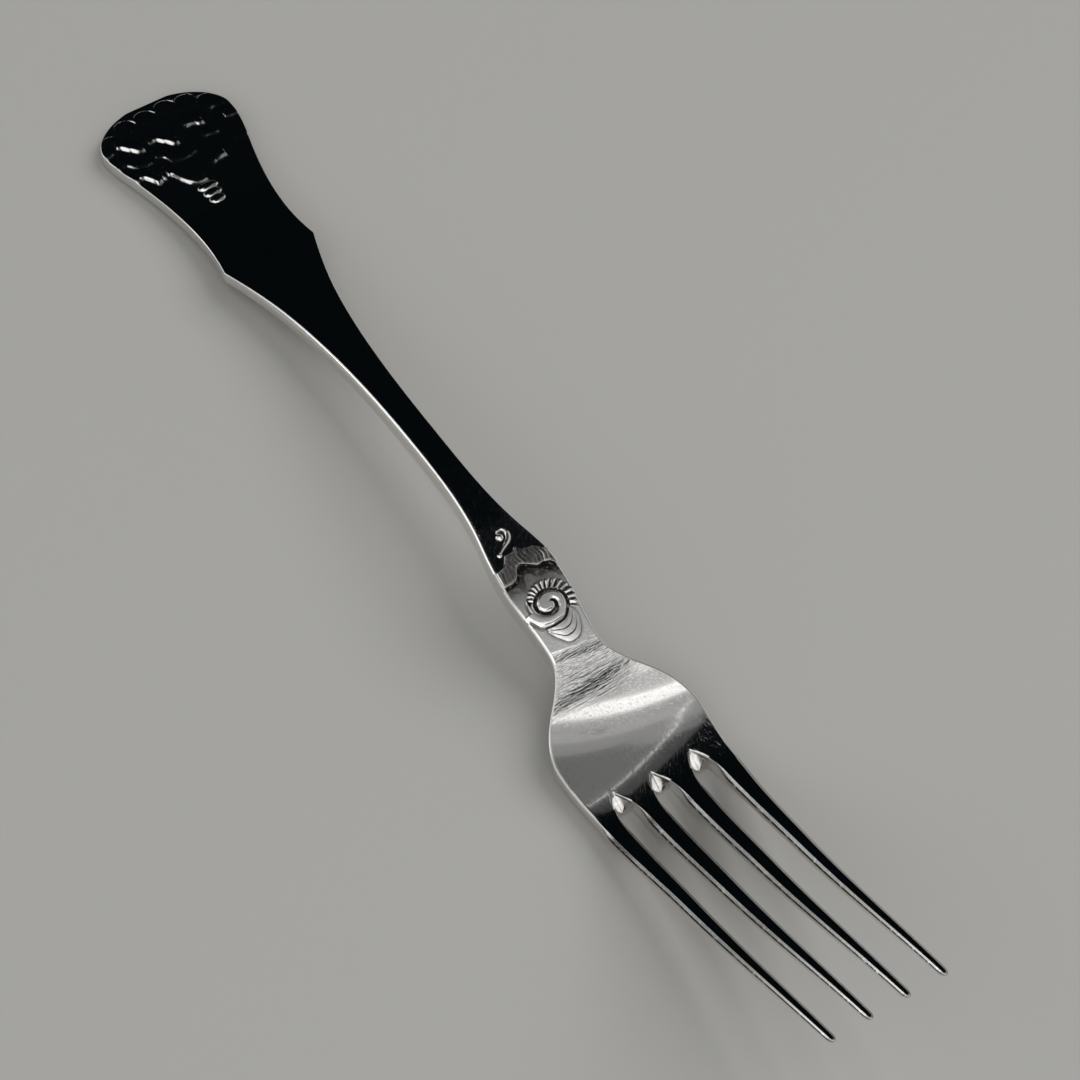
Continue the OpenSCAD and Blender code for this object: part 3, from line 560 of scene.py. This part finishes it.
def makeSilver(name, roughness):
    material = bpy.data.materials.new(name)
    material.use_nodes = True
    nodes, links = material.node_tree.nodes, material.node_tree.links
    shader = nodes["Principled BSDF"]
    shader.inputs["Metallic"].default_value = 1.0
    place = nodes.new("ShaderNodeTexCoord")

    def remap(value, low, high, toLow, toHigh):
        cut = nodes.new("ShaderNodeMapRange")
        for socket, number in (("From Min", low), ("From Max", high), ("To Min", toLow), ("To Max", toHigh)):
            cut.inputs[socket].default_value = number
        links.new(value, cut.inputs["Value"])
        return cut.outputs["Result"]

    # noise of a given grain, turned about the vertical and cut between two levels
    def grain(size, turn, low, high, detail):
        stretch = nodes.new("ShaderNodeMapping")
        stretch.vector_type = "TEXTURE"
        stretch.inputs["Rotation"].default_value = (0, 0, np.radians(turn))
        stretch.inputs["Scale"].default_value = size
        links.new(place.outputs["Object"], stretch.inputs["Vector"])
        noise = nodes.new("ShaderNodeTexNoise")
        noise.inputs["Scale"].default_value = 1.0
        noise.inputs["Detail"].default_value = detail
        links.new(stretch.outputs["Vector"], noise.inputs["Vector"])
        return remap(noise.outputs["Fac"], low, high, 0, 1)

    def combine(how, a, b):
        both = nodes.new("ShaderNodeMath")
        both.operation = how
        links.new(a, both.inputs[0])
        links.new(b, both.inputs[1])
        return both.outputs["Value"]

    def layer(layerName):
        attribute = nodes.new("ShaderNodeAttribute")
        attribute.attribute_name = layerName
        return attribute.outputs["Fac"]

    def blend(factor, a, b):
        colour = nodes.new("ShaderNodeMix")
        colour.data_type = "RGBA"
        links.new(factor, colour.inputs["Factor"])
        colour.inputs["A"].default_value = a
        colour.inputs["B"].default_value = b
        return colour

    tone = blend(grain(*silver["toneGrain"]), silver["colour"], silver["toned"])
    rough = remap(grain(*silver["roughGrain"]), 0, 1, *roughness)
    scratch = combine("ADD", *[grain(*scratches) for scratches in silver["scratches"]])
    heights = remap(scratch, 0, 2, 0, 2 * silver["scratchDeep"])
    # the mark darkens and dulls: tarnish in the recesses, and painted shade in the frill's trough, on the
    # tines' sides and at the slots' ends; fine streaks run across where the neck was brushed
    dirtAndShade = combine("MULTIPLY", layer("tarnishAndShade"), grain(*silver["dirtAndShadeGrain"]))
    stainAndShade = blend(dirtAndShade, silver["colour"], silver["tarnishAndShadeColour"])
    links.new(tone.outputs["Result"], stainAndShade.inputs["A"])
    links.new(stainAndShade.outputs["Result"], shader.inputs["Base Color"])
    rough = combine("ADD", rough, remap(dirtAndShade, 0, 1, 0, silver["roughDirtAndShade"]))
    streak = combine("MULTIPLY", grain(*silver["streaks"]), layer("brushed"))
    heights = combine("ADD", heights, remap(streak, 0, 1, 0, silver["streakDeep"]))
    links.new(rough, shader.inputs["Roughness"])
    bump = nodes.new("ShaderNodeBump")
    bump.inputs["Strength"].default_value = 1.0
    bump.inputs["Distance"].default_value = 1.0
    links.new(heights, bump.inputs["Height"])
    links.new(bump.outputs["Normal"], shader.inputs["Normal"])
    return material


finishes = {"polished_silver": makeSilver("polishedSilver", silver["rough"]),
            "struck_silver": makeSilver("struckSilver", silver["roughStruck"])}
print("finishes", list(finishes))

# zones of the fork from its end to the slots, each from one place to the next, with the number of rows
zones = {
    "waveField": {"node": "wave_field", "finish": "struck_silver", "rows": 250},
    "dropPanel": {"node": "drop_panel", "finish": "struck_silver", "rows": 90},
    "handleWaist": {"node": "handle_waist", "finish": "polished_silver", "rows": 60},
    "shoulders": {"node": "shoulders", "finish": "polished_silver", "rows": 60},
    "stem": {"node": "stem", "finish": "polished_silver", "rows": 120},
    "curlPanel": {"node": "curl_panel", "finish": "struck_silver", "rows": 150},
    "frill": {"node": "frill", "finish": "struck_silver", "rows": 160},
    "shell": {"node": "shell", "finish": "struck_silver", "rows": 220},
    "shellPoint": {"node": "shell_point", "finish": "struck_silver", "rows": 130},
    "neck": {"node": "neck", "finish": "polished_silver", "rows": 60},
    "bowl": {"node": "bowl", "finish": "polished_silver", "rows": 100},
}
brushing = {"start": 120.3, "full": 121.0, "fade": 126.6, "end": 128.6}
columns = np.linspace(-1, 1, grid["columns"])
endBevel = bevelLine[0][1]
endRows = endBevel * (1 - np.cos(np.radians(np.linspace(0, 90, grid["endRows"]))))
zoneEnds = [endBevel] + list(places.values())


# a zone's rows: columns spread evenly between the rounded edges
def zoneRows(u):
    u = u[:, None] + 0 * columns
    return section(u, (halfWidth(u) - along(bevelLine, u)) * columns)


for i, (name, zone) in enumerate(zones.items()):
    at = np.linspace(zoneEnds[i], zoneEnds[i + 1], zone["rows"])
    if i == 0:
        at = np.concatenate([endRows, at[1:]])
    points = zoneRows(at)
    normals = rowNormals(zoneRows, at, points, grid["step"])
    u, y = points[..., 0] + forkLen / 2, points[..., 1]
    if zone["finish"] == "struck_silver":
        top = slice(0, grid["columns"])
        dirtAndShade = np.zeros(u.shape)
        dirtAndShade[:, top] = tarnishAndShade(u[:, top], y[:, top])
        layers = {"tarnishAndShade": dirtAndShade}
    else:
        brushed = smooth((u - brushing["start"]) / (brushing["full"] - brushing["start"]))
        layers = {"brushed": brushed * smooth((brushing["end"] - u) / (brushing["end"] - brushing["fade"]))}
    buildPiece(name, zone["node"], points, normals, zone["finish"], layers)

# roots: the sloping ends of the slots are darker and duller, and a painted dark line of shade lies below
# their upper edge on one side
roots = {"rows": 60, "slotCols": 33, "barCols": 14, "step": 0.01, "dull": 0.22, "dullOver": 0.1,
         "line": 0.9, "shadeLineAt": 0.13, "shadeLineWide": 0.07, "shadeLineOver": 0.1}


# the columns follow the sides of the slots and are spread evenly between them
def rootColumns(u):
    half = halfWidth(u) - along(bevelLine, u)
    share = np.linspace(0, 1, roots["barCols"])[1:-1]
    ys = [-half]
    for k in (-1, 0, 1):
        slot = slotHalf(u) * np.linspace(-1, 1, roots["slotCols"]) + k * pitch(u)
        ys += [mix(ys[-1][:, -1:], slot[:, :1], share), slot]
    return np.concatenate(ys + [mix(ys[-1][:, -1:], half, share), half], 1)


def rootRows(u):
    y = rootColumns(u[:, None])
    return section(u[:, None] + 0 * y, y)


rootPlaces = np.linspace(rootsAt, tinesAt, roots["rows"])
points = rootRows(rootPlaces)
normals = rowNormals(rootRows, rootPlaces, points, roots["step"])
y = rootColumns(rootPlaces[:, None])
u = rootPlaces[:, None] + 0 * y
deep = slotDepth(u, y)
# painted shade: a dark line below the upper edge of each slot's end, on one side only
line = bell(deep - roots["shadeLineAt"], roots["shadeLineWide"]) * smooth(fromSlot(u, y) / roots["shadeLineOver"])
dirtAndShade = np.zeros(points.shape[:2])
dirtAndShade[:, :y.shape[1]] = np.maximum(roots["dull"] * smooth(deep / roots["dullOver"]), roots["line"] * line)
buildPiece("tineRoots", "tine_roots", points, normals, "polished_silver", {"tarnishAndShade": dirtAndShade})

# a tine: columns lie close together at the creases, to keep them crisp; its sides are darkened, partly as
# tarnish where the polish does not reach and partly as painted shade, with a painted dark line of shade in
# the crease at the foot of the facet; one value for each column of a side
tine = {"blend": 10.0, "wall": 0.75, "power": 2.4, "sunk": 0.01, "edge": 0.12, "slotEdge": 0.03,
        "flank": 0.34, "facet": 0.52, "facetBlend": 4.5, "facetAt": [0.04, 0.1, 0.63, 0.69, 0.96, 1.0],
        "wallAt": [0.06, 0.2, 0.6], "dirtAndShade": [0.45, 0.45, 0.45, 1.0, 1.0, 1.0, 1.0, 0.4, 0.1],
        "tipRound": 1.0, "tipShrink": 0.84, "tipDrop": 0.3, "step": 0.01,
        "topCols": 13, "lowCols": 33, "fineEnd": 147, "fineRows": 60, "rows": 130, "tipRows": 12}


# a tine's sides: two slots, or a slot and the outer edge
def tineEdge(k, u, side):
    outermost = tines["count"] // 2
    slot = k - outermost + (1 if side > 0 else 0)
    return side * halfWidth(u) if abs(slot) == outermost else slot * pitch(u) - side * slotHalf(u)


# a tine's section: flat above, a slanted facet, upright sides, and a boxy round below; the tip is an ellipse
def tineRows(k, u):
    u = u[:, None]
    tip = np.clip((u - forkLen + tine["tipRound"]) / tine["tipRound"], 0, 1)
    tip = np.sqrt(1 - tine["tipShrink"] * tip**2)
    own = smooth((u - tinesAt) / tine["blend"])
    grow = smooth((u - tinesAt) / tine["facetBlend"])
    left, right = tineEdge(k, u, -1), tineEdge(k, u, 1)
    mid, half = (left + right) / 2, (right - left) / 2 * tip
    thick, wall = along(thickLine, u), tine["wall"] * along(wallLine, u) * tip
    level = base(u, mid) - tine["sunk"] - tine["tipDrop"] * thick * (1 - tip)
    size = grow * tip * thick / tines["thick"]
    out, fall = size * tine["flank"], size * tine["facet"]
    inner = mix(tine["slotEdge"], tine["edge"], grow) * tip
    outer = mix(along(bevelLine, u), tine["edge"], grow) * tip
    bevels = {1: outer if k == tines["count"] - 1 else inner, -1: outer if k == 0 else inner}
    topY = mid + mix(bevels[-1] - half, half - bevels[1], np.linspace(0, 1, tine["topCols"]))
    topZ = mix(base(u + 0 * topY, topY), level + 0 * topY, own)
    t = np.array(tine["facetAt"])
    ends = []
    for side, edgeZ in ((1, topZ[:, -1:]), (-1, topZ[:, :1])):
        bevel, edgeY = bevels[side], mid + side * half
        low = mix(lower(u, edgeY), level - wall, own)
        sideY = mix(-bevel * (1 - np.cos(edgeArc)), mix(-bevel, out, t), grow)
        sideZ = mix(bevel * (np.sin(edgeArc) - 1), -fall * t, grow)
        down = mix(edgeZ + sideZ[:, -1:], low, np.array(tine["wallAt"]))
        ends.append((edgeY + side * np.concatenate([sideY, out + 0 * down], 1),
                     np.concatenate([edgeZ + sideZ, down], 1)))
    v = acrossBelow(tine["lowCols"])
    lowY = mid + v * (half + out)
    belly = np.clip(1 - np.abs(v) ** tine["power"], 0, 1) ** (1 / tine["power"])
    lowOwn = level - wall - (thick * tip - wall) * belly
    lowZ = np.maximum(0, mix(lower(u + 0 * lowY, lowY), lowOwn, own))
    ys = np.concatenate([topY, ends[0][0], lowY, ends[1][0][:, ::-1]], 1)
    zs = np.concatenate([topZ, ends[0][1], lowZ, ends[1][1][:, ::-1]], 1)
    return np.stack([u - forkLen / 2 + 0 * ys, ys, zs], -1)


tipStart = forkLen - tine["tipRound"]
tipRows = tipStart + tine["tipRound"] * np.sin(np.radians(np.linspace(0, 90, tine["tipRows"])))
tinePlaces = np.concatenate([np.linspace(tinesAt, tine["fineEnd"], tine["fineRows"]),
                             np.linspace(tine["fineEnd"], tipStart, tine["rows"])[1:], tipRows[1:]])
# painted shade on the tine's sides: the facet is darkened and its foot carries a dark line; the lower wall
# fades out
dirtAndShadeAround = np.concatenate([np.zeros(tine["topCols"]), tine["dirtAndShade"],
                             np.full(tine["lowCols"], tine["dirtAndShade"][-1]), tine["dirtAndShade"][::-1]])
dirtAndShade = smooth((tinePlaces[:, None] - tinesAt) / tine["facetBlend"]) * dirtAndShadeAround
for k in range(tines["count"]):
    points = tineRows(k, tinePlaces)
    normals = rowNormals(lambda u: tineRows(k, u), tinePlaces, points, tine["step"])
    buildPiece(f"tine{k + 1}", f"tine_{k + 1}", points, normals, "polished_silver", {"tarnishAndShade": dirtAndShade})

# a plain floor, in metres
floor = {"half": 3.0, "colour": (0.41, 0.405, 0.385, 1), "rough": 0.8}
h = floor["half"]
mesh = bpy.data.meshes.new("floor")
mesh.from_pydata([(-h, -h, 0), (h, -h, 0), (h, h, 0), (-h, h, 0)], [], [(0, 1, 2, 3)])
pale = bpy.data.materials.new("paleFloor")
pale.use_nodes = True
pale.node_tree.nodes["Principled BSDF"].inputs["Base Color"].default_value = floor["colour"]
pale.node_tree.nodes["Principled BSDF"].inputs["Roughness"].default_value = floor["rough"]
mesh.materials.append(pale)
ground = addObject("floor", mesh)
print("floor", 2 * h, "m wide")


# the turn that points a lamp or camera from its place to a target
def aim(place, target):
    return (Vector(target) - Vector(place)).to_track_quat("-Z", "Y").to_euler()


# light, in metres: soft boxes above that face straight down with a turn, and broad ones that face the fork;
# the last one is only for the floor
lamps = {
    "keyStrip": {"at": (0.2, 0.24, 0.98), "size": (0.9, 0.085), "turn": 61.3, "watts": 0.27},
    "keyHalo": {"at": (0.4275, 0.484, 1.0), "size": (0.55, 0.08), "turn": 61.3, "watts": 0.058},
    "keyGlow1": {"at": (0.1494, 0.3247, 1.0), "size": (0.8, 0.08), "turn": 61.3, "watts": 0.022},
    "keyGlow2": {"at": (0.1143, 0.3439, 1.01), "size": (0.8, 0.16), "turn": 61.3, "watts": 0.044},
    "keyGlow3": {"at": (0.0661, 0.3703, 1.02), "size": (0.8, 0.27), "turn": 61.3, "watts": 0.075},
    "skyPanel": {"at": (0.3415, -0.1053, 1.0), "size": (0.73, 0.52), "turn": 61.3, "watts": 0.55},
    "waveKey": {"at": (-0.385, -0.28, 1.0), "size": (0.43, 0.44), "turn": 0, "watts": 0.6},
    "fillNear": {"at": (-0.2534, 0.5455, 1.0), "size": (0.305, 1.02), "turn": 40.5, "watts": 0.137},
    "fillLine": {"at": (-0.3731, 0.4431, 0.99), "size": (0.014, 1.02), "turn": 40.5, "watts": 0.032},
    "fillFar": {"at": (-0.4263, 0.3976, 1.0), "size": (0.14, 1.02), "turn": 40.5, "watts": 0.026},
    "fillSide": {"at": (0.1196, 0.667, 1.0), "size": (0.42, 0.38), "turn": 40.5, "watts": 0.07},
    "sidePanel": {"at": (0.3, 1.9, 0.9), "size": (3.0, 1.5), "watts": 7.0},
    "frontPanel": {"at": (2.0, -0.35, 0.9), "size": (2.4, 1.5), "watts": 9.0},
    "leftPanel": {"at": (-0.55, -2.05, 1.1), "size": (3.5, 1.6), "watts": 12.8},
    "backPanel": {"at": (-1.9, -1.3, 0.5), "size": (1.6, 0.8), "watts": 3.4},
    "cornerPanel": {"at": (1.86, 0.98, 0.9), "size": (1.0, 1.4), "watts": 1.5},
    "topPanel": {"at": (1.2, -1.2, 2.2), "size": (3.0, 3.0), "watts": 26.0},
    "floorLight": {"at": (0.2, 2.2, 2.4), "size": (2.6, 2.6), "watts": 64.0, "mirrored": False},
}
for name, lamp in lamps.items():
    data = bpy.data.lights.new(name, "AREA")
    data.shape = "RECTANGLE"
    data.size, data.size_y = lamp["size"]
    data.energy = lamp["watts"]
    light = addObject(name, data)
    light.location = lamp["at"]
    light.rotation_euler = (0, 0, np.radians(lamp["turn"])) if "turn" in lamp else aim(lamp["at"], (0, 0, 0))
    light.visible_glossy = lamp.get("mirrored", True)
print("lamps", list(lamps))

# a dark room round about
room = {"colour": (0.0014, 0.0024, 0.003, 1), "strength": 1.0}
world = bpy.data.worlds.new("room")
world.use_nodes = True
world.node_tree.nodes["Background"].inputs["Color"].default_value = room["colour"]
world.node_tree.nodes["Background"].inputs["Strength"].default_value = room["strength"]
bpy.context.scene.world = world

# camera of the photograph: place and target in millimetres; the lens and the frame's width in its pixels
view = {"at": (218.53, -126.62, 366.52), "to": (7.30, 5.906, 6.0), "lensPixels": 3200, "widePixels": 1080,
        "sensor": 36.0, "clip": (0.01, 20)}
camera = bpy.data.cameras.new("camera")
camera.sensor_width = view["sensor"]
camera.sensor_fit = "HORIZONTAL"
camera.lens = view["sensor"] * view["lensPixels"] / view["widePixels"]
camera.clip_start, camera.clip_end = view["clip"]
eye = addObject("camera", camera)
eye.location = Vector(view["at"]) / 1000
eye.rotation_euler = aim(view["at"], view["to"])
bpy.context.scene.camera = eye
bpy.context.scene.view_settings.view_transform = "Standard"
print("camera", round(camera.lens, 2), "mm lens")
